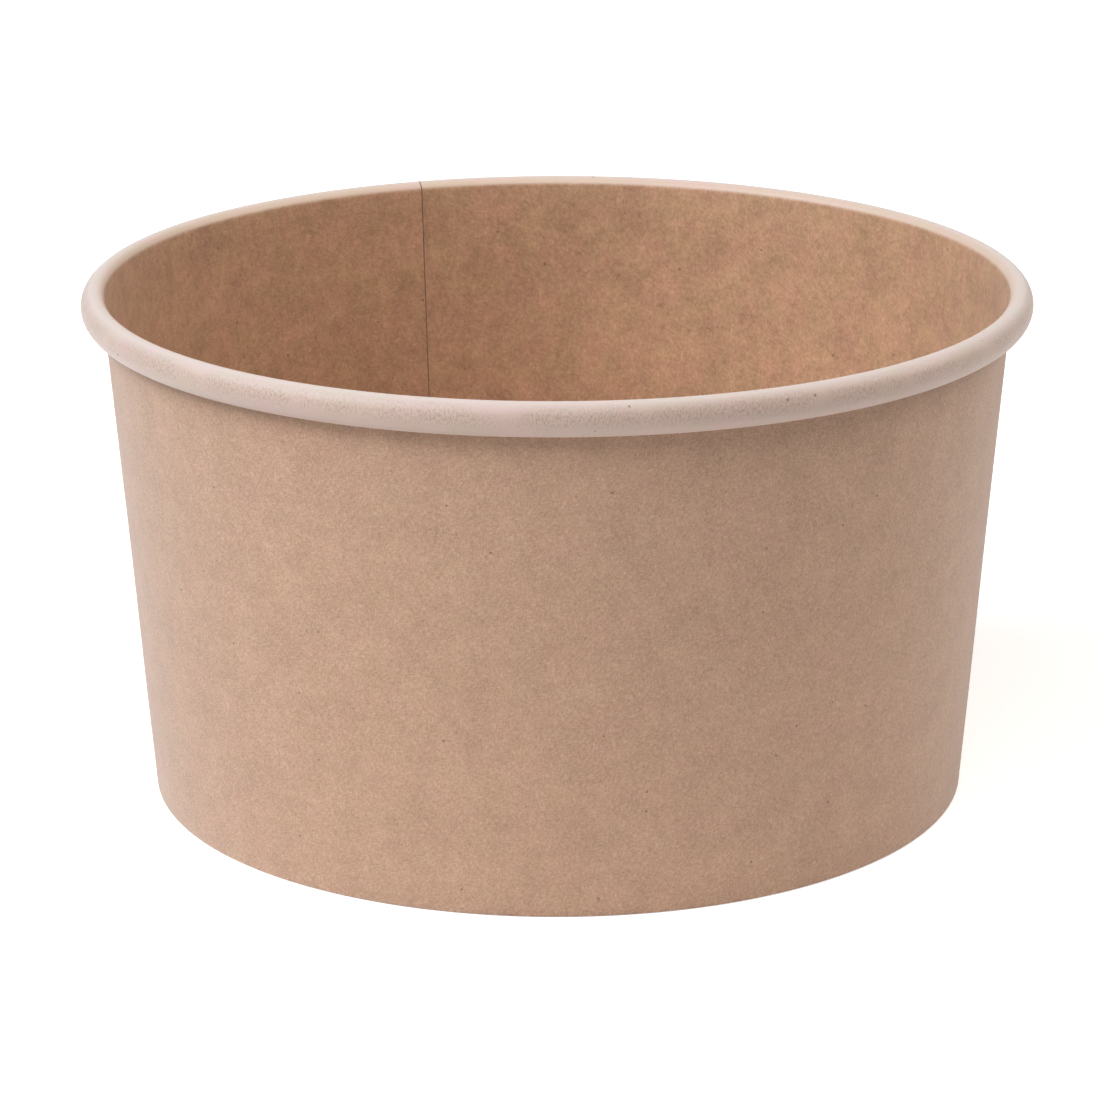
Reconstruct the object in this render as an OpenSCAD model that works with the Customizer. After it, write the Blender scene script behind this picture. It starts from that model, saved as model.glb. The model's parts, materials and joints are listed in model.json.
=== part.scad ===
// Kraft salad bowl: an open, tapered bowl of brown paper board, made of two blanks.
// The side wall is lapped on itself at one seam, rolled outwards at the rim and folded inwards at the foot.
// The base is a disc with a turned-down skirt, which that inward fold clamps against the wall.
// The origin is the centre of the foot on the table, +Z is up, and lengths are in millimetres.

/* [Bowl] */
// Outside diameter over the rim roll
rim_d = 148; // [145:0.5:151]
// Outside diameter of the wall at the foot
foot_d = 128.5; // [124:0.5:132]
// Height from the table to the top of the rim
bowl_h = 81; // [60:1:110]

/* [Board] */
// Thickness of the side wall's board
wall_t = 0.45; // [0.3:0.05:0.5]
// Thickness of the base's board
base_t = 0.4; // [0.3:0.05:0.5]
// Clearance left between two faces of board that are pressed together
press_gap = 0.03; // [0.02:0.01:0.05]

/* [Rim roll] */
// Radius of the roll's crown, where the board turns away from the wall
crown_r = 1.6; // [1.5:0.05:1.8]
// Radius of the roll's outer side
side_r = 2.75; // [2.6:0.05:2.9]
// Radius of the roll's underside
under_r = 1.2; // [1.1:0.05:1.3]
// Direction from the roll's centre at which the crown meets the outer side, in degrees above level
crown_end = 56; // [50:1:60]
// Straight length of the edge that is tucked up between the roll and the wall
tuck_l = 0.8; // [0.4:0.1:1]
// Radius of the curl at the end of the tucked edge
curl_r = 1.1; // [1.05:0.05:1.3]
// Turn of the curl at the end of the tucked edge, in degrees
curl_a = 60; // [30:5:70]

/* [Side seam] */
// Direction of the seam's outer cut edge, in degrees counter-clockwise from +X
seam_a = 102; // [0:0.25:359]
// Width of the lap, measured round the rim
lap_w = 9; // [6:0.5:12]
// Width over which the outer ply steps up onto the inner one, measured round the rim
ramp_w = 1; // [0.5:0.1:3]

/* [Foot] */
// Height of the hem's cut edge above the table
hem_h = 7.2; // [5:0.1:10]
// Inside radius of the fold under the foot
fold_r = 0.1; // [0.05:0.01:0.15]
// Height of the base's upper face above the hem's cut edge
disc_lift = 1.4; // [1.1:0.1:4]
// Outside radius of the bend between the base's disc and its skirt
bend_r = 0.8; // [0.6:0.1:1]
// Clearance between the skirt's cut edge and the board folded under it
skirt_gap = 0.1; // [0.05:0.05:1]

/* [Hidden] */
$fn = 180;
kraft = "#c09a7c";
kraft_inside = "#b48863";
chord_a = 10;
ramp_steps = 3;
plies = 2;
lap_t = plies * wall_t;
rim_r = rim_d / 2;
foot_r = foot_d / 2;

// The crown's centre, and the taper of the wall that leaves the foot and runs into the crown
crown_c = [rim_r - side_r + (side_r - crown_r) * cos(crown_end), bowl_h - crown_r];
taper = atan((crown_c.x - foot_r) / crown_c.y) - asin((crown_r - wall_t) / norm(crown_c - [foot_r, 0]));
up_wall = [sin(taper), cos(taper)];
out_wall = [cos(taper), -sin(taper)];
side_c = crown_c - (side_r - crown_r) * toward(crown_end);

// Width of the channel between the wall and the hem, which holds the skirt
channel_w = base_t + 2 * press_gap;
floor_z = hem_h + disc_lift;
skirt_z = lap_t + skirt_gap;

lap_a = quarters(lap_w);
step_a = quarters(ramp_w / ramp_steps);
ramp_a = ramp_steps * step_a;

// Angle that a width takes up round the rim, to the nearest quarter of a degree, so that the turned
// lengths of wall meet in exactly the same plane
function quarters(w) = max(1, round(4 * w / rim_r * 180 / PI)) / 4;

// Unit vector at an angle, and the reverse of a list
function toward(a) = [cos(a), sin(a)];
function reverse(list) = [for (i = [len(list) - 1:-1:0]) list[i]];

// Points along an arc about c, from one direction to another, without the first few points
function arc(c, r, from, to, skip = 0) =
    let (n = ceil(abs(to - from) / chord_a))
    [for (i = [skip:n]) c + r * toward(from + (to - from) * i / n)];

// Point at a height, and at a distance outwards from the inner face of the wall
function wall_point(z, out) = [foot_r - wall_t / cos(taper) + (z * sin(taper) + out) / cos(taper), z];

// Centres of the roll's underside and of its curl, where the board's outer face lies at depth t
function under_out(t) = under_r + t + press_gap - (side_c - wall_point(0, 0)) * out_wall;
function under_c(t) =
    side_c + under_out(t) * out_wall - sqrt((side_r - under_r) ^ 2 - under_out(t) ^ 2) * up_wall;
function curl_c(t) = under_c(t) + (curl_r - under_r) * out_wall + tuck_l * up_wall;
function under_start(t) = atan2(under_c(t).y - side_c.y, under_c(t).x - side_c.x);

// One face of the board, from the hem's cut edge round the fold, up the wall and round the roll.
// depth is its distance from the wall's inner face, and t is the depth of the board's outer face.
function face(depth, t) = concat(
    [wall_point(hem_h, -channel_w - depth)],
    arc(wall_point(t + fold_r, fold_r - channel_w), fold_r + depth, 180 - taper, 270),
    arc(wall_point(t + fold_r, -fold_r), fold_r + depth, 270, 360 - taper),
    arc(crown_c, crown_r - depth, 180 - taper, 90),
    arc(crown_c, crown_r - depth, 90, crown_end, 1),
    arc(side_c, side_r - depth, crown_end, 0, 1),
    arc(side_c, side_r - depth, 0, under_start(t), 1),
    arc(under_c(t), under_r - depth, under_start(t), -180 - taper, 1),
    arc(curl_c(t), curl_r - depth, 180 - taper, 180 - taper - curl_a));

// Section of the board between two depths from the wall's inner face
module board(inner, outer) {
    polygon(concat(face(inner, outer), reverse(face(outer, outer))));
}

module turn(from, to) {
    rotate_extrude(angle = to - from, start = from) children();
}

// The wall runs once round the bowl, and its two ends lie on each other in the lap
module side_wall() {
    lap_end = seam_a + lap_a;
    color(kraft) {
        turn(lap_end + ramp_a, 360 + seam_a) board(0, wall_t);
        turn(seam_a, lap_end) board(0, lap_t);
        for (i = [0:ramp_steps - 1]) {
            inner = wall_t * (1 - (i + 0.5) / ramp_steps);
            turn(lap_end + i * step_a, lap_end + (i + 1) * step_a) board(inner, inner + wall_t);
        }
    }
}

// The base's disc, with its edge bent down into a skirt that lies along the wall
module base_disc() {
    bend_c = wall_point(floor_z - bend_r, -press_gap - bend_r);
    skirt_end = wall_point(skirt_z, -press_gap);
    color(kraft_inside)
        rotate_extrude()
            polygon(concat(
                [[0, floor_z]],
                arc(bend_c, bend_r, 90, -taper),
                [skirt_end, skirt_end - base_t * out_wall],
                arc(bend_c, bend_r - base_t, -taper, 90),
                [[0, floor_z - base_t]]));
}

side_wall();
base_disc();
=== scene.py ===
# %% [markdown]
# # A kraft salad bowl
# A salad bowl of this kind is two blanks of brown paper board. A fan-shaped blank is wrapped into a
# cone and lapped on itself at one seam. Its upper edge is rolled outwards into the rim, and its lower
# edge is folded inwards round the turned-down skirt of a second, round blank, which is the base.
# The frame holds the true sizes of both pieces. Here each is modelled again as board that is drawn,
# swept and folded, because the finish has to follow the sheet round its rolls and folds.

# %% Load the frame
import json
import math
from functools import lru_cache

import bmesh
import bpy
from mathutils import Matrix, Vector


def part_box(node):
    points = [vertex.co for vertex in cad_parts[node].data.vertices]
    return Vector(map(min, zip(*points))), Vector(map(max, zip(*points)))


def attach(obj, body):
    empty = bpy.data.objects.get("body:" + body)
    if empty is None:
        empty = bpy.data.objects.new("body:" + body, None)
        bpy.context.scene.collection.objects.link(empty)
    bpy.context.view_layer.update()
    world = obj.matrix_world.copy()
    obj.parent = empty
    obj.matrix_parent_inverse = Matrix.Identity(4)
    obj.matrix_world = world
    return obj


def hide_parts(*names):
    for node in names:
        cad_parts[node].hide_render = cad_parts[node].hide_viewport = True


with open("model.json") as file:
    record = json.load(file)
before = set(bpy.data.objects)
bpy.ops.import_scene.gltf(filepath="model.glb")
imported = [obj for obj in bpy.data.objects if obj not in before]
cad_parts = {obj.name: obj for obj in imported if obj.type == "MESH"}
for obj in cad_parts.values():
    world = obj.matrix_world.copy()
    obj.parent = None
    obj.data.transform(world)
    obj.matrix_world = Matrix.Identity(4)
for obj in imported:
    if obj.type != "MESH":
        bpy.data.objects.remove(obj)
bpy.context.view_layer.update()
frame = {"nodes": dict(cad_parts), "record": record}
record = frame["record"]
print("frame nodes:", sorted(frame["nodes"]))

# %% [markdown]
# The photograph was taken with a long lens, a little above the rim, so the rim's ellipse is flat and
# the two sides of the wall hardly converge. Camera distance, height and lens were solved from the
# outlines of the rim, wall and foot. The small turn and roll come out of the same fit.

# %% Camera
CAMERA_DISTANCE = 0.670691
CAMERA_HEIGHT = 0.248013
CAMERA_LENS = 145.092
CAMERA_PITCH = math.radians(17.4996)
CAMERA_TURN = math.radians(0.1037)
CAMERA_ROLL = math.radians(-0.1618)


def add_camera():
    data = bpy.data.cameras.new("camera")
    data.lens = CAMERA_LENS
    data.clip_start = 0.01
    data.clip_end = 20
    camera = bpy.data.objects.new("camera", data)
    bpy.context.scene.collection.objects.link(camera)
    level = math.pi / 2 - CAMERA_PITCH
    turned = Matrix.Rotation(CAMERA_TURN, 4, "Z") @ Matrix.Rotation(level, 4, "X")
    place = Matrix.Translation((0, -CAMERA_DISTANCE, CAMERA_HEIGHT))
    camera.matrix_world = place @ turned @ Matrix.Rotation(CAMERA_ROLL, 4, "Z")
    bpy.context.scene.camera = camera
    return camera


camera = add_camera()
print("camera at", tuple(round(c, 3) for c in camera.location))

# %% [markdown]
# ## The sheet's sizes
# Board is made to a thickness, and every bend in it is set by a tool, so a few radii give the whole
# section. They are the same values that the frame was made with. The rim's radius and the height come
# from the frame's lid seat, and the base's place from its node. All are in millimetres until the end.

# %% Sizes of the board and its bends
MM = 0.001
lid_seat = next(m for m in record["mounts"] if m["name"] == "lid_seat")
disc_low, disc_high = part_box("base_disc")

RIM_R = lid_seat["dims"]["r_mm"]
BOWL_H = lid_seat["pos_m"][2] / MM
FLOOR_Z = disc_high.z / MM
SKIRT_Z = disc_low.z / MM
FOOT_R = 64.25
WALL_T = 0.45
BASE_T = 0.4
PRESS_GAP = 0.03
CROWN_R = 1.6
SIDE_R = 2.75
UNDER_R = 1.2
CROWN_END = math.radians(56)
TUCK_L = 0.8
CURL_R = 1.1
CURL_TURN = math.radians(60)
HEM_H = 7.2
FOLD_R = 0.1
BEND_R = 0.8
CHANNEL_W = BASE_T + 2 * PRESS_GAP

crown_x = RIM_R - SIDE_R + (SIDE_R - CROWN_R) * math.cos(CROWN_END)
CROWN_C = Vector((crown_x, 0, BOWL_H - CROWN_R))
lean = math.atan2(CROWN_C.x - FOOT_R, CROWN_C.z)
TAPER = lean - math.asin((CROWN_R - WALL_T) / math.hypot(CROWN_C.x - FOOT_R, CROWN_C.z))
UP = Vector((math.sin(TAPER), 0, math.cos(TAPER)))
OUT = Vector((math.cos(TAPER), 0, -math.sin(TAPER)))
SIDE_C = CROWN_C - (SIDE_R - CROWN_R) * Vector((math.cos(CROWN_END), 0, math.sin(CROWN_END)))
print(f"the wall leans out by {math.degrees(TAPER):.2f} degrees")

# %% [markdown]
# ## Drawing the section with a pen
# The section of a bent sheet is made of straight runs and arcs that meet smoothly. In bmesh a single
# vertex works as a pen: extruding it draws a straight run, and spinning it about a centre draws an arc.
# Drawn twice, at the depths of the board's two faces, the same strokes give a sheet of even thickness.

# %% Pen strokes
def pen_tip(pen):
    pen.verts.ensure_lookup_table()
    return pen.verts[-1]


def draw_line(pen, end, steps=1):
    begin = pen_tip(pen).co.copy()
    for k in range(steps):
        moved = bmesh.ops.extrude_vert_indiv(pen, verts=[pen_tip(pen)])["verts"][0]
        moved.co = begin.lerp(end, (k + 1) / steps)


def draw_bend(pen, centre, turn, steps):
    bmesh.ops.spin(
        pen, geom=[pen_tip(pen)], cent=centre, axis=(0, 1, 0), angle=turn, steps=steps)


def wall_point(z, out):
    """The point at a height, and at a distance outwards from the wall's inner face."""
    foot = FOOT_R - WALL_T / math.cos(TAPER)
    return Vector((foot + (z * math.sin(TAPER) + out) / math.cos(TAPER), 0, z))


# %% The board's section
HEM_ROWS = 8
FOLD_STEPS = 4
WALL_ROWS = 24
CROWN_STEPS = 10
SIDE_STEPS = 14
UNDER_STEPS = 12
CURL_STEPS = 5


def under_centre(pack):
    """Centre of the roll's underside, where the outermost ply of the wall is pack deep."""
    out = UNDER_R + pack + PRESS_GAP - (SIDE_C - wall_point(0, 0)).dot(OUT)
    return SIDE_C + out * OUT - math.sqrt((SIDE_R - UNDER_R) ** 2 - out**2) * UP


@lru_cache(maxsize=None)
def face_line(depth, pack):
    """One face of the board, drawn from the hem's cut edge to the end of the curl inside the roll."""
    hem_c = wall_point(pack + FOLD_R, FOLD_R - CHANNEL_W)
    foot_c = wall_point(pack + FOLD_R, -FOLD_R)
    under_c = under_centre(pack)
    curl_c = under_c + (CURL_R - UNDER_R) * OUT + TUCK_L * UP
    under_start = math.atan2(under_c.z - SIDE_C.z, under_c.x - SIDE_C.x)
    pen = bmesh.new()
    pen.verts.new(wall_point(HEM_H, -CHANNEL_W - depth))
    draw_line(pen, hem_c - (FOLD_R + depth) * OUT, HEM_ROWS)
    draw_bend(pen, hem_c, -math.pi / 2 - TAPER, FOLD_STEPS)
    draw_line(pen, foot_c - Vector((0, 0, FOLD_R + depth)))
    draw_bend(pen, foot_c, -math.pi / 2 + TAPER, FOLD_STEPS)
    draw_line(pen, CROWN_C - (CROWN_R - depth) * OUT, WALL_ROWS)
    draw_bend(pen, CROWN_C, math.pi - TAPER - CROWN_END, CROWN_STEPS)
    draw_bend(pen, SIDE_C, CROWN_END - under_start, SIDE_STEPS)
    draw_bend(pen, under_c, under_start + math.pi + TAPER, UNDER_STEPS)
    draw_line(pen, curl_c - (CURL_R - depth) * OUT)
    draw_bend(pen, curl_c, CURL_TURN, CURL_STEPS)
    points = [v.co.copy() for v in pen.verts]
    pen.free()
    return points


section = face_line(0, WALL_T)
SPOTS = len(section)
WALL_SPOT = HEM_ROWS + 2 * FOLD_STEPS + 1
CROWN_SPOT = WALL_SPOT + WALL_ROWS
SIDE_SPOT = CROWN_SPOT + CROWN_STEPS
UNDER_SPOT = SIDE_SPOT + SIDE_STEPS
steps_long = [(b - a).length for a, b in zip(section, section[1:])]
along = [sum(steps_long[:k]) for k in range(SPOTS)]
print(f"{SPOTS} points a face, and {along[-1]:.1f} mm of board from hem to curl")

# %% [markdown]
# ## Where the board laps itself
# The blank is a little longer than one turn. Seen from inside, its first end lies on top, and its last
# end steps outwards behind it and is glued there. The press that glues them squeezes both plies thinner.
# Travel counts the angle round the bowl from the inner cut edge. Each column of the sweep asks three
# things of it: how thick the board is there, how deep its inner face lies, and how deep the outermost
# ply is, which moves the fold and the roll.

# %% The side seam
SEAM = math.radians(102)
LAP = math.radians(7)
RAMP = 0.22 / RIM_R
EASE = 2.5 / RIM_R
PRESSED_T = 0.36
GLUE_T = 0.02
TURN = 2 * math.pi
LAP_PACK = 2 * PRESSED_T + GLUE_T


def smooth(t):
    t = min(max(t, 0), 1)
    return t * t * (3 - 2 * t)


def past_lap(travel):
    """1 on the lap's inner ply, easing to 0 beside it."""
    return smooth(1 - (travel - LAP) / EASE)


def board_at(travel):
    """Thickness of the board, depth of its inner face, and depth of the outermost ply."""
    squeeze = max(past_lap(travel), smooth((travel - TURN + EASE) / EASE))
    thick = WALL_T - (WALL_T - PRESSED_T) * squeeze
    depth = (PRESSED_T + GLUE_T) * smooth((travel - TURN + RAMP) / RAMP)
    pack = depth + thick + (LAP_PACK - PRESSED_T) * past_lap(travel)
    return tuple(round(value, 4) for value in (thick, depth, pack))


def spread(begin, end, step):
    count = math.ceil((end - begin) / step)
    return [begin + (end - begin) * k / count for k in range(count)]


COLUMN_STEP = math.radians(1.5)
columns = (
    spread(0, EASE, EASE / 8)
    + spread(EASE, LAP, math.radians(1))
    + spread(LAP, LAP + EASE, EASE / 6)
    + spread(LAP + EASE, TURN - EASE, COLUMN_STEP)
    + spread(TURN - EASE, TURN - RAMP, EASE / 8)
    + spread(TURN - RAMP, TURN, RAMP / 8)
    + spread(TURN, TURN + LAP, math.radians(1))
    + [TURN + LAP])
print(len(columns), "columns round the bowl")

# %% [markdown]
# Paper board is never quite round. It springs back a little differently on every side, so the wall
# gets a slow, shallow waviness of a tenth of a millimetre or two, and only inwards, so that the bowl
# stays within its frame. It fades out towards the foot, which the base holds round.

# %% Out of round
WAVES = ((2, 0.05, 0.4), (3, 0.035, 2.1), (5, 0.02, 4.0), (9, 0.008, 1.2))
WAVE_FOOT = 10
WAVE_FULL = 45
RIM_DIP = 0.04


def sink(angle):
    return sum(a * (1 + math.sin(n * angle + start)) for n, a, start in WAVES)


def place(point, angle):
    """A point of the section, turned to its direction and let out of round."""
    share = smooth((point.z - WAVE_FOOT) / (WAVE_FULL - WAVE_FOOT))
    r = point.x - sink(angle) * share
    z = point.z - RIM_DIP * (1 + math.sin(2 * angle + 1)) * share * point.z / BOWL_H
    return Vector((r * math.cos(angle), r * math.sin(angle), z))


# %% [markdown]
# ## Sweeping the board round
# A spin would close the section on itself, and the lap is just what a spin can't make. So the cut end
# of the sheet is drawn once, as a thin strip of faces, and that strip is extruded on and on round the
# bowl. Each new column is set to the section that belongs to its travel. What was the strip becomes the
# inside of the sheet and goes, and the two strips left at the ends are the seam's cut edges.

# %% Sweep the wall
def draw_strip(bm, spot):
    """The sheet's cut end: a strip of faces between the points of its two faces."""
    chain = [bm.verts.new(p) for p in section]
    for k, v in enumerate(chain):
        v[spot] = k
    edges = [bm.edges.new(pair) for pair in zip(chain, chain[1:])]
    made = bmesh.ops.extrude_edge_only(bm, edges=edges)["geom"]
    for v in made:
        if isinstance(v, bmesh.types.BMVert):
            v[spot] += SPOTS
    return [f for f in made if isinstance(f, bmesh.types.BMFace)]


def set_column(verts, spot, gone, travel):
    thick, depth, pack = board_at(travel)
    faces = face_line(depth, pack) + face_line(round(depth + thick, 4), pack)
    for v in verts:
        v.co = place(faces[v[spot]], SEAM + LAP - travel)
        v[gone] = travel


def sweep_wall():
    bm = bmesh.new()
    spot = bm.verts.layers.int.new("spot")
    gone = bm.verts.layers.float.new("travel")
    strip = draw_strip(bm, spot)
    set_column(bm.verts, spot, gone, columns[0])
    for travel in columns[1:]:
        made = bmesh.ops.extrude_face_region(bm, geom=strip)["geom"]
        strip = [e for e in made if isinstance(e, bmesh.types.BMFace)]
        set_column([e for e in made if isinstance(e, bmesh.types.BMVert)], spot, gone, travel)
    bmesh.ops.recalc_face_normals(bm, faces=bm.faces)
    return bm, spot, gone


wall_bm, spot, gone = sweep_wall()
print(f"wall: {len(wall_bm.faces)} faces, volume {wall_bm.calc_volume():.0f} mm3")

# %% [markdown]
# ## Naming the faces of the sheet
# The inside of the board is coated and the outside is bare, and where it was cut its raw core shows.
# Because the roll turns the sheet over, the rim that one sees is the coated inside. The spot numbers
# that the sweep carried along tell which face each polygon lies on. They also give the flat blank back:
# a cone unrolls to a fan, so the UV map lays the board out flat at its real size in metres, and the
# fibres keep their size and direction everywhere.

# %% Faces, flat blank and rim
INSIDE, OUTSIDE, CUT = 0, 1, 2
FAN_R = FOOT_R / math.sin(TAPER)
FACE_SHIFT = 0.6


def side_of(face, spot):
    outer = [v[spot] >= SPOTS for v in face.verts]
    return OUTSIDE if all(outer) else CUT if any(outer) else INSIDE


def blank_point(travel, reach, side):
    """The point of the flat blank, in metres: the fan's two faces lie apart, so their fibres differ."""
    turn = (travel - math.pi) * math.sin(TAPER)
    r = (FAN_R + reach) * MM
    return r * math.sin(turn) + FACE_SHIFT * side, r * math.cos(turn) - FAN_R * MM


def rolled_at(k):
    """How far the board has turned over in the roll, in half turns."""
    if not CROWN_SPOT < k < SPOTS - 1:
        return 0 if k <= CROWN_SPOT else 2
    way = section[k + 1] - section[k - 1]
    return (math.atan2(way.x, way.z) - TAPER) % TURN / math.pi


def name_faces(bm, spot, gone):
    uv = bm.loops.layers.uv.new("blank")
    roll = bm.verts.layers.float.new("roll")
    seam = bm.verts.layers.float.new("seam")
    rolled = [rolled_at(k) for k in range(SPOTS)]
    for v in bm.verts:
        v[roll] = rolled[v[spot] % SPOTS]
        v[seam] = 1 - min(v[gone], abs(TURN - v[gone]), EASE) / EASE
    for face in bm.faces:
        side = side_of(face, spot)
        face.material_index = side
        face.smooth = True
        for loop in face.loops:
            k = loop.vert[spot]
            if side == CUT:
                loop[uv].uv = ((along[k % SPOTS] + loop.vert[gone] * RIM_R) * MM, k // SPOTS * WALL_T * MM)
            else:
                loop[uv].uv = blank_point(loop.vert[gone], along[k % SPOTS], side)
    for edge in bm.edges:
        if len({f.material_index for f in edge.link_faces}) > 1:
            edge.smooth = False


name_faces(wall_bm, spot, gone)

# %% [markdown]
# ## Knurling the hem
# Under the bowl the hem is pressed onto the base's skirt by a ribbed wheel, which leaves a row of
# shallow upright flutes. Only this band needs such fine columns, so its rings alone are subdivided.

# %% Knurl
FLUTES = 150
FLUTE_DEPTH = 0.07
FLUTE_CUTS = 3
FLUTE_LOW = 1.2
FLUTE_HIGH = 6.4
FLUTE_RISE = 1.5
FLUTE_FALL = 0.8


def knurl(bm, spot):
    def on_hem(v):
        return SPOTS < v[spot] < SPOTS + HEM_ROWS

    rings = [
        e for e in bm.edges
        if all(on_hem(v) for v in e.verts) and e.verts[0][spot] == e.verts[1][spot]]
    made = bmesh.ops.subdivide_edges(bm, edges=rings, cuts=FLUTE_CUTS, use_grid_fill=True)
    cut = {v for v in made["geom_split"] if isinstance(v, bmesh.types.BMVert)}
    cut |= {v for e in rings for v in e.verts if e.is_valid}
    for v in cut:
        angle = math.atan2(v.co.y, v.co.x)
        fade = smooth((v.co.z - FLUTE_LOW) / FLUTE_RISE)
        fade *= smooth((FLUTE_HIGH - v.co.z) / FLUTE_FALL)
        inward = FLUTE_DEPTH * fade * 0.5 * (1 + math.cos(FLUTES * angle))
        v.co.xy *= 1 - inward / v.co.xy.length
    return len(cut)


print("flute points:", knurl(wall_bm, spot))

# %% [markdown]
# Both pieces are finished in the same way. The mesh is scaled from millimetres to the frame's metres and
# takes its materials, and the piece rides on the bowl's one body in the place of its plain solid.

# %% Finish a piece
def finish_piece(bm, name, materials, node):
    bm.transform(Matrix.Scale(MM, 4))
    mesh = bpy.data.meshes.new(name)
    bm.to_mesh(mesh)
    bm.free()
    for material in materials:
        mesh.materials.append(material)
    piece = bpy.data.objects.new(name, mesh)
    bpy.context.scene.collection.objects.link(piece)
    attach(piece, "root")
    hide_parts(node)
    print(f"{name}: {len(mesh.polygons)} faces")
    return piece

# %% [markdown]
# ## The base
# The base is a disc with its edge bent down into a skirt. It is round all through, so its section is
# drawn once with the same pen and spun a full turn. The disc is let down by a fraction of a millimetre
# in the middle, as board that was pressed at its edge is, and the skirt fits the channel in the hem.

# %% Draw and spin the base
DISC_ROWS = 14
BEND_STEPS = 6
SKIRT_ROWS = 4
BASE_COLUMNS = 180
DISC_SAG = 0.25
FLAT_R = FOOT_R - 2
BASE_TOP, BASE_UNDER, BASE_CUT = 0, 1, 2


def draw_base(pen):
    bend_c = wall_point(FLOOR_Z - BEND_R, -PRESS_GAP - BEND_R)
    skirt_end = wall_point(SKIRT_Z, -PRESS_GAP)
    down = math.pi / 2 + TAPER
    inner_r = BEND_R - BASE_T
    pen.verts.new((0, 0, FLOOR_Z))
    draw_line(pen, bend_c + Vector((0, 0, BEND_R)), DISC_ROWS)
    draw_bend(pen, bend_c, down, BEND_STEPS)
    draw_line(pen, skirt_end, SKIRT_ROWS)
    draw_line(pen, skirt_end - BASE_T * OUT)
    draw_line(pen, bend_c + inner_r * OUT, SKIRT_ROWS)
    draw_bend(pen, bend_c, -down, BEND_STEPS)
    draw_line(pen, Vector((0, 0, FLOOR_Z - BASE_T)), DISC_ROWS)


def spin_base():
    bm = bmesh.new()
    draw_base(bm)
    bmesh.ops.spin(
        bm, geom=bm.verts[:] + bm.edges[:], cent=(0, 0, 0), axis=(0, 0, 1), angle=TURN,
        steps=BASE_COLUMNS, use_merge=True)
    bmesh.ops.remove_doubles(bm, verts=bm.verts, dist=1e-4)
    bmesh.ops.recalc_face_normals(bm, faces=bm.faces)
    return bm


def sag(bm):
    for v in bm.verts:
        if v.co.z > FLOOR_Z - 1.5 * BASE_T:
            v.co.z -= DISC_SAG * (1 - smooth(v.co.xy.length / FLAT_R))


def name_base_faces(bm):
    uv = bm.loops.layers.uv.new("blank")
    for face in bm.faces:
        centre = face.calc_center_median()
        flat = abs(face.normal.z) > 0.9
        near_skirt_end = centre.z < SKIRT_Z + 0.05
        outward = face.normal.dot(Vector((centre.x, centre.y, 0))) > 0
        top = face.normal.z > 0 if flat else outward or face.normal.z > 0.05
        face.material_index = BASE_CUT if near_skirt_end and flat else BASE_TOP if top else BASE_UNDER
        face.smooth = True
        for loop in face.loops:
            x, y, z = loop.vert.co
            drop = max(FLOOR_Z - BEND_R - z, 0)
            out = 1 + drop / max(math.hypot(x, y), 1)
            loop[uv].uv = (x * out * MM + FACE_SHIFT * face.material_index, y * out * MM)
    for edge in bm.edges:
        if len({f.material_index for f in edge.link_faces}) > 1:
            edge.smooth = False


base_bm = spin_base()
sag(base_bm)
name_base_faces(base_bm)
print(f"base: {len(base_bm.faces)} faces, volume {base_bm.calc_volume():.0f} mm3")

# %% [markdown]
# ## Kraft board
# Brown kraft is unbleached pulp: short fibres laid in every direction, a little more along the machine,
# in a cloudy sheet with a few dark shives and stray pale fibres. An image would have to be very large to
# stay sharp on so large a sheet, so noise and cells make the patterns. One node group works them out from
# the flat blank's coordinates, and each material picks its own colours and strengths.

# %% Node helpers
def add_node(tree, kind, values=None, **settings):
    node = tree.nodes.new(kind)
    for name, value in settings.items():
        setattr(node, name, value)
    for key, value in (values or {}).items():
        if isinstance(value, bpy.types.NodeSocket):
            tree.links.new(value, node.inputs[key])
        else:
            node.inputs[key].default_value = value
    return node


def arithmetic(tree, operation, a, b=0.0, clamp=False):
    values = {0: a, 1: b}
    return add_node(tree, "ShaderNodeMath", values, operation=operation, use_clamp=clamp).outputs[0]


def remap(tree, value, low, high, to_low=0.0, to_high=1.0):
    values = {"Value": value, "From Min": low, "From Max": high, "To Min": to_low, "To Max": to_high}
    return add_node(tree, "ShaderNodeMapRange", values, interpolation_type="SMOOTHSTEP").outputs[0]


def blend_colour(tree, share, a, b, blend_type="MIX"):
    node = add_node(tree, "ShaderNodeMix", data_type="RGBA", blend_type=blend_type)
    for socket, value in ((node.inputs[0], share), (node.inputs[6], a), (node.inputs[7], b)):
        if isinstance(value, bpy.types.NodeSocket):
            tree.links.new(value, socket)
        else:
            socket.default_value = value
    return node.outputs[2]


def stretched(tree, vector, turn, across):
    """The vector turned, and squeezed along its first axis, so that a pattern on it turns to strokes."""
    turned = add_node(
        tree, "ShaderNodeVectorRotate", {"Vector": vector, "Angle": turn}, rotation_type="Z_AXIS")
    scaled = add_node(
        tree, "ShaderNodeVectorMath", {0: turned.outputs[0], 1: (1, across, 1)}, operation="MULTIPLY")
    return scaled.outputs[0]


# %% Fibres group
def new_group(name, inputs, outputs):
    tree = bpy.data.node_groups.new(name, "ShaderNodeTree")
    for socket, kind, value in inputs:
        made = tree.interface.new_socket(socket, in_out="INPUT", socket_type=kind)
        if value is not None:
            made.default_value = value
    for socket in outputs:
        tree.interface.new_socket(socket, in_out="OUTPUT", socket_type="NodeSocketFloat")
    return tree, tree.nodes.new("NodeGroupInput"), tree.nodes.new("NodeGroupOutput")


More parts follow.
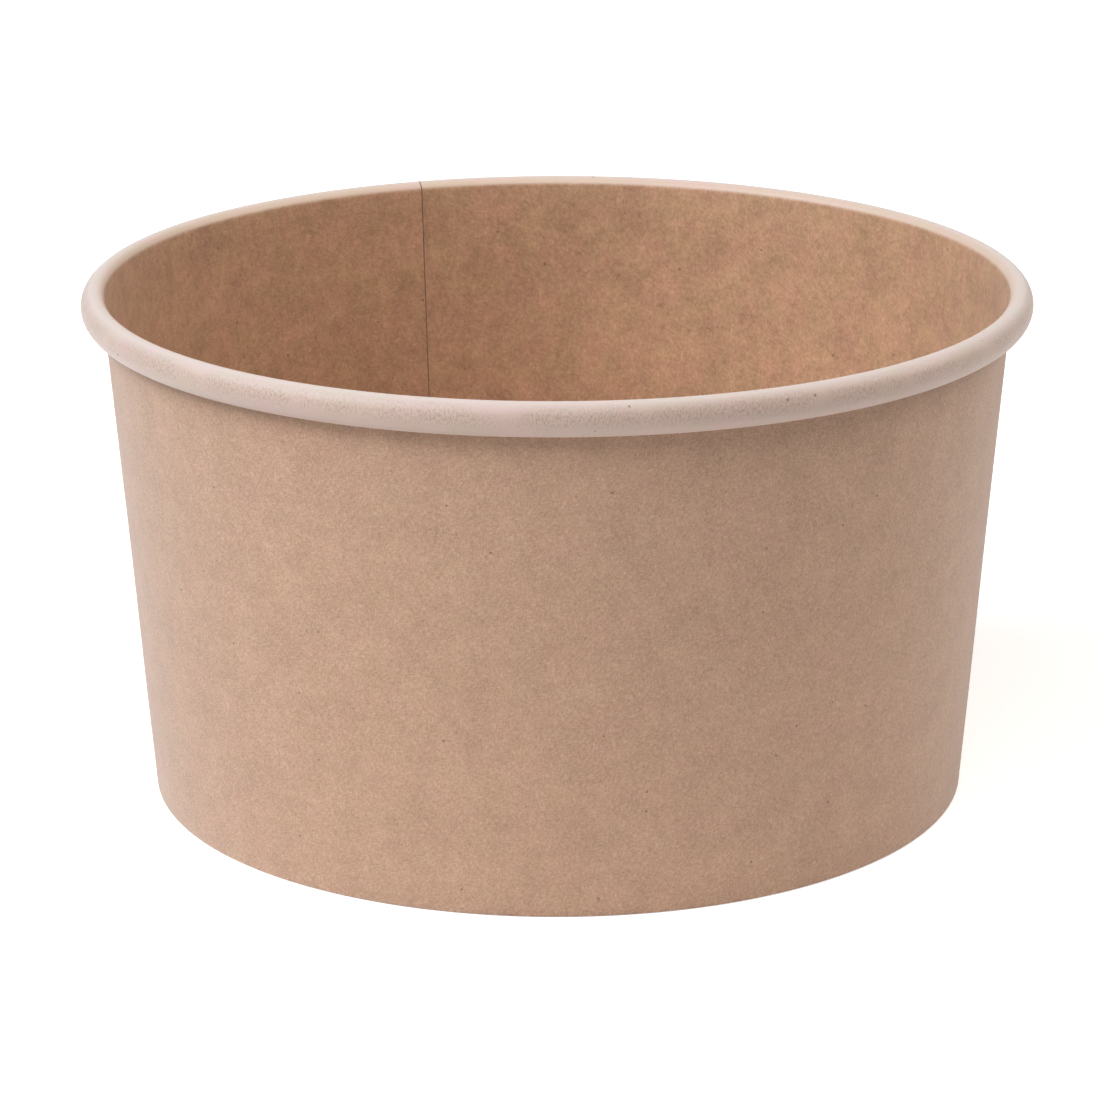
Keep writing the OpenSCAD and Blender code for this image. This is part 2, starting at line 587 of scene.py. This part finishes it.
def make_fibres():
    """Single fibres: long thin cells of a stretched Voronoi pattern, of which a share is kept."""
    tree, given, result = new_group(
        "single_fibres",
        (("Vector", "NodeSocketVector", None), ("Length", "NodeSocketFloat", 0.002),
         ("Slimness", "NodeSocketFloat", 12.0), ("Share", "NodeSocketFloat", 0.1),
         ("Turn", "NodeSocketFloat", 0.0)),
        ("Fibre",))
    turned = add_node(
        tree, "ShaderNodeVectorRotate", {"Vector": given.outputs["Vector"], "Angle": given.outputs["Turn"]},
        rotation_type="Z_AXIS")
    slim = add_node(
        tree, "ShaderNodeCombineXYZ", {"X": 1.0, "Y": given.outputs["Slimness"], "Z": 1.0})
    scaled = add_node(
        tree, "ShaderNodeVectorMath", {0: turned.outputs[0], 1: slim.outputs[0]},
        operation="MULTIPLY")
    cells = add_node(
        tree, "ShaderNodeTexVoronoi",
        {"Vector": scaled.outputs[0],
         "Scale": arithmetic(tree, "DIVIDE", 1.0, given.outputs["Length"])},
        voronoi_dimensions="2D")
    lottery = add_node(tree, "ShaderNodeSeparateColor", {0: cells.outputs["Color"]})
    kept = arithmetic(tree, "LESS_THAN", lottery.outputs[0], given.outputs["Share"])
    body = remap(tree, cells.outputs["Distance"], 0.34, 0.12)
    tree.links.new(arithmetic(tree, "MULTIPLY", body, kept), result.inputs["Fibre"])
    return tree


fibres = make_fibres()


# %% Kraft stock group
GRAIN_TURNS = (0.2, 1.45)
GRAIN_STRETCH = 2.4
FIBRE_BEND = (0.0012, 0.0012, 0)
FIBRE_SLIMNESS = 14.0
FLECK_SIZES = (0.02, 0.055)
FLECK_SHARE = 0.1


def make_stock():
    """The sheet itself: fine grain, clouds, warm and cool patches, flecks, and single fibres."""
    tree, given, result = new_group(
        "kraft_stock",
        (("Vector", "NodeSocketVector", None), ("Grain", "NodeSocketFloat", 0.00035),
         ("Cloud", "NodeSocketFloat", 0.008), ("Fleck", "NodeSocketFloat", 0.0035)),
        ("Grain", "Cloud", "Warmth", "Fleck", "Pale fibre", "Dark fibre"))
    vector = given.outputs["Vector"]

    def noise(source, size, detail, rough=0.5):
        scale = arithmetic(tree, "DIVIDE", 1.0, size)
        values = {"Vector": source, "Scale": scale, "Detail": detail, "Roughness": rough}
        return add_node(tree, "ShaderNodeTexNoise", values, noise_dimensions="2D").outputs[0]

    grain = 0.0
    for turn in GRAIN_TURNS:
        strokes = stretched(tree, vector, turn, GRAIN_STRETCH)
        layer = noise(strokes, given.outputs["Grain"], 1.5, 0.75)
        grain = arithmetic(tree, "ADD", grain, arithmetic(tree, "MULTIPLY", layer, 0.5))
    tree.links.new(grain, result.inputs["Grain"])
    cloud = noise(vector, given.outputs["Cloud"], 4.0, 0.95)
    tree.links.new(cloud, result.inputs["Cloud"])
    shifted = add_node(tree, "ShaderNodeVectorMath", {0: vector, 1: (7.3, 2.9, 0)}).outputs[0]
    warmth = noise(shifted, arithmetic(tree, "MULTIPLY", given.outputs["Cloud"], 0.7), 3.0, 0.6)
    tree.links.new(remap(tree, warmth, 0.32, 0.68), result.inputs["Warmth"])
    sway = add_node(tree, "ShaderNodeCombineXYZ", {"X": cloud, "Y": warmth}).outputs[0]
    bent = add_node(
        tree, "ShaderNodeVectorMath", {0: sway, 1: FIBRE_BEND, 2: vector},
        operation="MULTIPLY_ADD").outputs[0]
    specks = add_node(
        tree, "ShaderNodeTexVoronoi",
        {"Vector": vector, "Scale": arithmetic(tree, "DIVIDE", 1.0, given.outputs["Fleck"])},
        voronoi_dimensions="2D")
    lottery = add_node(tree, "ShaderNodeSeparateColor", {0: specks.outputs["Color"]})
    size = remap(tree, lottery.outputs[1], 0.0, 1.0, *FLECK_SIZES)
    small = arithmetic(tree, "LESS_THAN", specks.outputs["Distance"], size)
    kept = arithmetic(tree, "LESS_THAN", lottery.outputs[0], FLECK_SHARE)
    tree.links.new(arithmetic(tree, "MULTIPLY", small, kept), result.inputs["Fleck"])
    for output, turns, length, share in (
            ("Pale fibre", (0.4, 1.7), 0.0022, 0.2),
            ("Dark fibre", (1.0,), 0.0028, 0.14)):
        total = 0.0
        for turn in turns:
            one = tree.nodes.new("ShaderNodeGroup")
            one.node_tree = fibres
            tree.links.new(bent, one.inputs["Vector"])
            one.inputs["Length"].default_value = length
            one.inputs["Slimness"].default_value = FIBRE_SLIMNESS
            one.inputs["Share"].default_value = share
            one.inputs["Turn"].default_value = turn
            total = arithmetic(tree, "MAXIMUM", total, one.outputs["Fibre"])
        tree.links.new(total, result.inputs[output])
    return tree


stock = make_stock()
print("kraft stock group:", len(stock.nodes), "nodes")

# %% [markdown]
# ## The finishes
# The outside is bare, dull and fuzzy, and its fuzz catches light where the wall turns away. The inside
# is deeper in colour and slightly shiny, as board with a thin film is. Over the roll a painted highlight
# makes the board pale where the roll faces up: peach at first, then nearly white. It turns browner again
# as painted shade where the roll faces outwards. Along the roll's outermost line the board is darkened in
# fine upright specks, partly rubbed through and partly painted shade on the roll's outward face. The roll
# attribute says how far the sheet has turned over, so these bands follow the rim all the way round. A cut
# edge is raw core: pale, rough and without film.

# %% Finish helpers
KRAFT_DARK = (0.29, 0.164, 0.101, 1)
KRAFT_LIGHT = (0.62, 0.386, 0.262, 1)
KRAFT_COOL = (0.95, 1.0, 0.92, 1)
KRAFT_WARM = (1.05, 0.975, 1.04, 1)
FLECK = (0.11, 0.065, 0.04, 1)
PALE_FIBRE = (0.72, 0.53, 0.4, 1)
DARK_FIBRE = (0.27, 0.155, 0.09, 1)


def start_material(name):
    material = bpy.data.materials.new(name)
    material.use_nodes = True
    tree = material.node_tree
    shader = tree.nodes["Principled BSDF"]
    blank = add_node(tree, "ShaderNodeUVMap", uv_map="blank").outputs[0]
    return material, tree, shader, blank


def place_stock(tree, blank, grain, cloud, fleck):
    node = tree.nodes.new("ShaderNodeGroup")
    node.node_tree = stock
    tree.links.new(blank, node.inputs["Vector"])
    node.inputs["Grain"].default_value = grain
    node.inputs["Cloud"].default_value = cloud
    node.inputs["Fleck"].default_value = fleck
    return node.outputs


def kraft_colour(tree, stock_out, grain, cloud, patchy):
    """Board colour from the stock's patterns: grain and clouds set light and dark, patches set warmth."""
    tone = 0.5 - (grain + cloud) / 2
    for pattern, share in (("Grain", grain), ("Cloud", cloud)):
        tone = arithmetic(tree, "ADD", arithmetic(tree, "MULTIPLY", stock_out[pattern], share), tone)
    colour = blend_colour(tree, tone, KRAFT_DARK, KRAFT_LIGHT)
    patch = blend_colour(tree, stock_out["Warmth"], KRAFT_COOL, KRAFT_WARM)
    return blend_colour(tree, patchy, colour, patch, "MULTIPLY")


def lay_fibres(tree, stock_out, colour, pale=0, dark=0, fleck=0):
    """Colour with single pale and dark fibres and flecks laid over it, each at its own strength."""
    for pattern, share, tint in (
            ("Pale fibre", pale, PALE_FIBRE), ("Dark fibre", dark, DARK_FIBRE), ("Fleck", fleck, FLECK)):
        if not share:
            continue
        strength = arithmetic(tree, "MULTIPLY", stock_out[pattern], share)
        colour = blend_colour(tree, strength, colour, tint)
    return colour


def add_relief(tree, shader, stock_out, depth):
    bump = add_node(
        tree, "ShaderNodeBump", {"Height": stock_out["Grain"], "Distance": depth, "Strength": 0.6})
    tree.links.new(bump.outputs[0], shader.inputs["Normal"])


# %% Bare board
def bare_board(name, tint, grain=1.45, cloud=0.65, patchy=0.24, relief=0.00008):
    material, tree, shader, blank = start_material(name)
    stock_out = place_stock(tree, blank, 0.0006, 0.008, 0.0034)
    colour = kraft_colour(tree, stock_out, grain, cloud, patchy)
    colour = lay_fibres(tree, stock_out, colour, pale=0.22, dark=0.3, fleck=0.75)
    colour = blend_colour(tree, 1.0, colour, tint, "MULTIPLY")
    tree.links.new(colour, shader.inputs["Base Color"])
    rough = remap(tree, stock_out["Grain"], 0.3, 0.7, 0.8, 0.64)
    tree.links.new(rough, shader.inputs["Roughness"])
    shader.inputs["Sheen Weight"].default_value = 0.4
    shader.inputs["Sheen Roughness"].default_value = 0.45
    shader.inputs["Sheen Tint"].default_value = (1, 0.98, 1, 1)
    add_relief(tree, shader, stock_out, relief)
    return material


# %% Coated board
COAT_TINT = (1.06, 1.01, 0.9, 1)
# The rim's colours are painted light and shade: a painted highlight where the roll faces up, warm peach at
# its inner edge, painted shade where the roll faces outwards, and dark specks that are partly wear and
# partly painted shade.
RIM_PEACH_HIGHLIGHT = (0.68, 0.51, 0.41, 1)
RIM_HIGHLIGHT = (0.66, 0.545, 0.5, 1)
RIM_SHADED_SIDE = (0.56, 0.41, 0.35, 1)
RIM_WEAR_AND_SHADE = (0.36, 0.25, 0.2, 1)
SEAM_SHADE = (0.9, 0.87, 0.84, 1)
HIGHLIGHT_FROM = (0.04, 0.17)
PEACH_TO_HIGHLIGHT = (0.26, 0.47)
HIGHLIGHT_TO_SHADED_SIDE = (0.6, 0.85)
OUTERMOST = 0.9


def paint_rim_highlight_and_shade(tree, blank, stock_out, colour):
    """Painted highlight over the top of the roll and painted shade on its outward face, from the wall round
    to the underside.
    """
    roll = add_node(tree, "ShaderNodeAttribute", attribute_name="roll").outputs["Fac"]
    # painted highlight on the top of the roll, fading to painted shade on its outward face
    pale = blend_colour(tree, remap(tree, roll, *PEACH_TO_HIGHLIGHT), RIM_PEACH_HIGHLIGHT, RIM_HIGHLIGHT)
    pale = blend_colour(tree, remap(tree, roll, *HIGHLIGHT_TO_SHADED_SIDE), pale, RIM_SHADED_SIDE)
    patch = blend_colour(tree, stock_out["Warmth"], KRAFT_COOL, KRAFT_WARM)
    pale = blend_colour(tree, 0.5, pale, patch, "MULTIPLY")
    line = arithmetic(tree, "ABSOLUTE", arithmetic(tree, "SUBTRACT", roll, OUTERMOST))
    line = remap(tree, line, 0.3, 0.02)
    scuffs = add_node(
        tree, "ShaderNodeTexNoise", {"Vector": blank, "Scale": 110.0, "Detail": 2.0},
        noise_dimensions="2D").outputs[0]
    grains = add_node(
        tree, "ShaderNodeTexNoise",
        {"Vector": stretched(tree, blank, 0.0, 0.5), "Scale": 3400.0, "Detail": 2.0, "Roughness": 0.9},
        noise_dimensions="2D").outputs[0]
    # dark specks along the roll's outward face: partly rubbed board, partly painted shade
    wear_and_shade_specks = arithmetic(tree, "MULTIPLY", line, remap(tree, scuffs, 0.18, 0.6))
    wear_and_shade_specks = arithmetic(tree, "MULTIPLY", wear_and_shade_specks, remap(tree, grains, 0.4, 0.68, 0.12, 0.9))
    pale = blend_colour(tree, wear_and_shade_specks, pale, RIM_WEAR_AND_SHADE)
    return blend_colour(tree, remap(tree, roll, *HIGHLIGHT_FROM), colour, pale)


def coated_board(name, rolled=False):
    material, tree, shader, blank = start_material(name)
    stock_out = place_stock(tree, blank, 0.0009, 0.009, 0.0046)
    colour = kraft_colour(tree, stock_out, 1.2, 1.3, 0.55)
    colour = blend_colour(tree, 1.0, colour, COAT_TINT, "MULTIPLY")
    colour = lay_fibres(tree, stock_out, colour, pale=0.12, dark=0.25)
    if rolled:
        # painted shade beside the seam's cut edge and step, broken by the clouds
        seam = add_node(tree, "ShaderNodeAttribute", attribute_name="seam").outputs["Fac"]
        seam = arithmetic(tree, "MULTIPLY", remap(tree, seam, 0.45, 1.0), stock_out["Cloud"])
        colour = blend_colour(tree, seam, colour, SEAM_SHADE, "MULTIPLY")
        # the rim's painted highlight and painted shade
        colour = paint_rim_highlight_and_shade(tree, blank, stock_out, colour)
    colour = lay_fibres(tree, stock_out, colour, fleck=0.6)
    tree.links.new(colour, shader.inputs["Base Color"])
    rough = remap(tree, stock_out["Cloud"], 0.3, 0.7, 0.6, 0.48)
    tree.links.new(rough, shader.inputs["Roughness"])
    shader.inputs["Coat Weight"].default_value = 0.15
    shader.inputs["Coat Roughness"].default_value = 0.4
    shader.inputs["Sheen Weight"].default_value = 0.22
    shader.inputs["Sheen Roughness"].default_value = 0.5
    add_relief(tree, shader, stock_out, 0.00004)
    return material


outside_board = bare_board("kraft_outside", (1, 1, 1, 1))
inside_board = coated_board("kraft_inside", rolled=True)
raw_edge = bare_board("kraft_cut_edge", (1.2, 1.22, 1.22, 1), grain=1.8, relief=0.00012)
base_top = coated_board("kraft_base_top")
base_under = bare_board("kraft_base_under", (0.97, 0.97, 0.97, 1))

# %% Both pieces
wall = finish_piece(
    wall_bm, "kraft_wall", (inside_board, outside_board, raw_edge), "side_wall")
base = finish_piece(
    base_bm, "kraft_base", (base_top, base_under, raw_edge), "base_disc")

# %% [markdown]
# ## Floor and light
# The photograph is a studio cut-out: pure white all round, with large soft lights in front on the left
# and on both sides. The wall gets lighter from the rim down to the foot, which could be light thrown
# back by a table close by. So the floor is made pale near the bowl and dim further out. It glows
# only as seen by the camera, in gloss or through glass, so that it shows as white all over, keeps a soft
# shadow, and throws no more light on the bowl. The world is white in the same way, and dim otherwise.

# %% Floor
FLOOR_SIZE = 6.0
FLOOR_GLOW = (0.5, 1.0)
FLOOR_WHITE = (0.95, 0.95, 0.95, 1)
FLOOR_DIM = (0.3, 0.3, 0.3, 1)
TABLE_EDGE = (0.16, 0.5)


def add_floor():
    bm = bmesh.new()
    bmesh.ops.create_grid(bm, x_segments=1, y_segments=1, size=FLOOR_SIZE / 2)
    mesh = bpy.data.meshes.new("floor")
    bm.to_mesh(mesh)
    bm.free()
    floor = bpy.data.objects.new("floor", mesh)
    bpy.context.scene.collection.objects.link(floor)
    material = bpy.data.materials.new("floor")
    material.use_nodes = True
    shader = material.node_tree.nodes["Principled BSDF"]
    tree = material.node_tree
    spot = add_node(tree, "ShaderNodeTexCoord").outputs["Object"]
    far = add_node(tree, "ShaderNodeVectorMath", {0: spot}, operation="LENGTH").outputs["Value"]
    far = remap(tree, far, *TABLE_EDGE)
    tree.links.new(blend_colour(tree, far, FLOOR_WHITE, FLOOR_DIM), shader.inputs["Base Color"])
    shader.inputs["Roughness"].default_value = 0.9
    shader.inputs["Emission Color"].default_value = (1, 1, 1, 1)
    path = add_node(tree, "ShaderNodeLightPath")
    seen = arithmetic(tree, "MAXIMUM", path.outputs["Is Camera Ray"], path.outputs["Is Glossy Ray"])
    seen = arithmetic(tree, "MAXIMUM", seen, path.outputs["Is Transmission Ray"])
    glow = arithmetic(tree, "MULTIPLY", seen, remap(tree, far, 0.0, 1.0, *FLOOR_GLOW))
    tree.links.new(glow, shader.inputs["Emission Strength"])
    mesh.materials.append(material)
    return floor


add_floor()

# %% Light
ROOM_STRENGTH = 0.075
LAMPS = (
    ("left front", (-0.9, -0.9, 1.15), 0.8, 12.5, (1, 1, 1)),
    ("left", (-1.1, -0.2, 1.0), 0.8, 11.0, (0.9, 1, 1.06)),
    ("right", (1.25, 0.3, 1.0), 0.9, 10.8, (1.06, 1, 0.9)),
    ("over front", (0, -0.9, 1.3), 0.9, 6.0, (1, 1, 1)))


def add_lamps():
    for name, spot_at, size, power, tint in LAMPS:
        data = bpy.data.lights.new(name, "AREA")
        data.shape = "DISK"
        data.size = size
        data.energy = power
        data.color = tint
        lamp = bpy.data.objects.new(name, data)
        bpy.context.scene.collection.objects.link(lamp)
        lamp.location = spot_at
        aim = Vector((0, 0, BOWL_H / 2 * MM)) - Vector(spot_at)
        lamp.rotation_euler = aim.to_track_quat("-Z", "Y").to_euler()


def light_room():
    world = bpy.data.worlds.new("room")
    bpy.context.scene.world = world
    world.use_nodes = True
    tree = world.node_tree
    background = tree.nodes["Background"]
    background.inputs["Color"].default_value = (1, 1, 1, 1)
    path = add_node(tree, "ShaderNodeLightPath")
    seen = arithmetic(tree, "MAXIMUM", path.outputs["Is Camera Ray"], path.outputs["Is Glossy Ray"])
    seen = arithmetic(tree, "MAXIMUM", seen, path.outputs["Is Transmission Ray"])
    strength = add_node(
        tree, "ShaderNodeMapRange", {"Value": seen, "To Min": ROOM_STRENGTH, "To Max": 1.0})
    tree.links.new(strength.outputs[0], background.inputs["Strength"])


add_lamps()
light_room()
bpy.context.scene.view_settings.view_transform = "Standard"
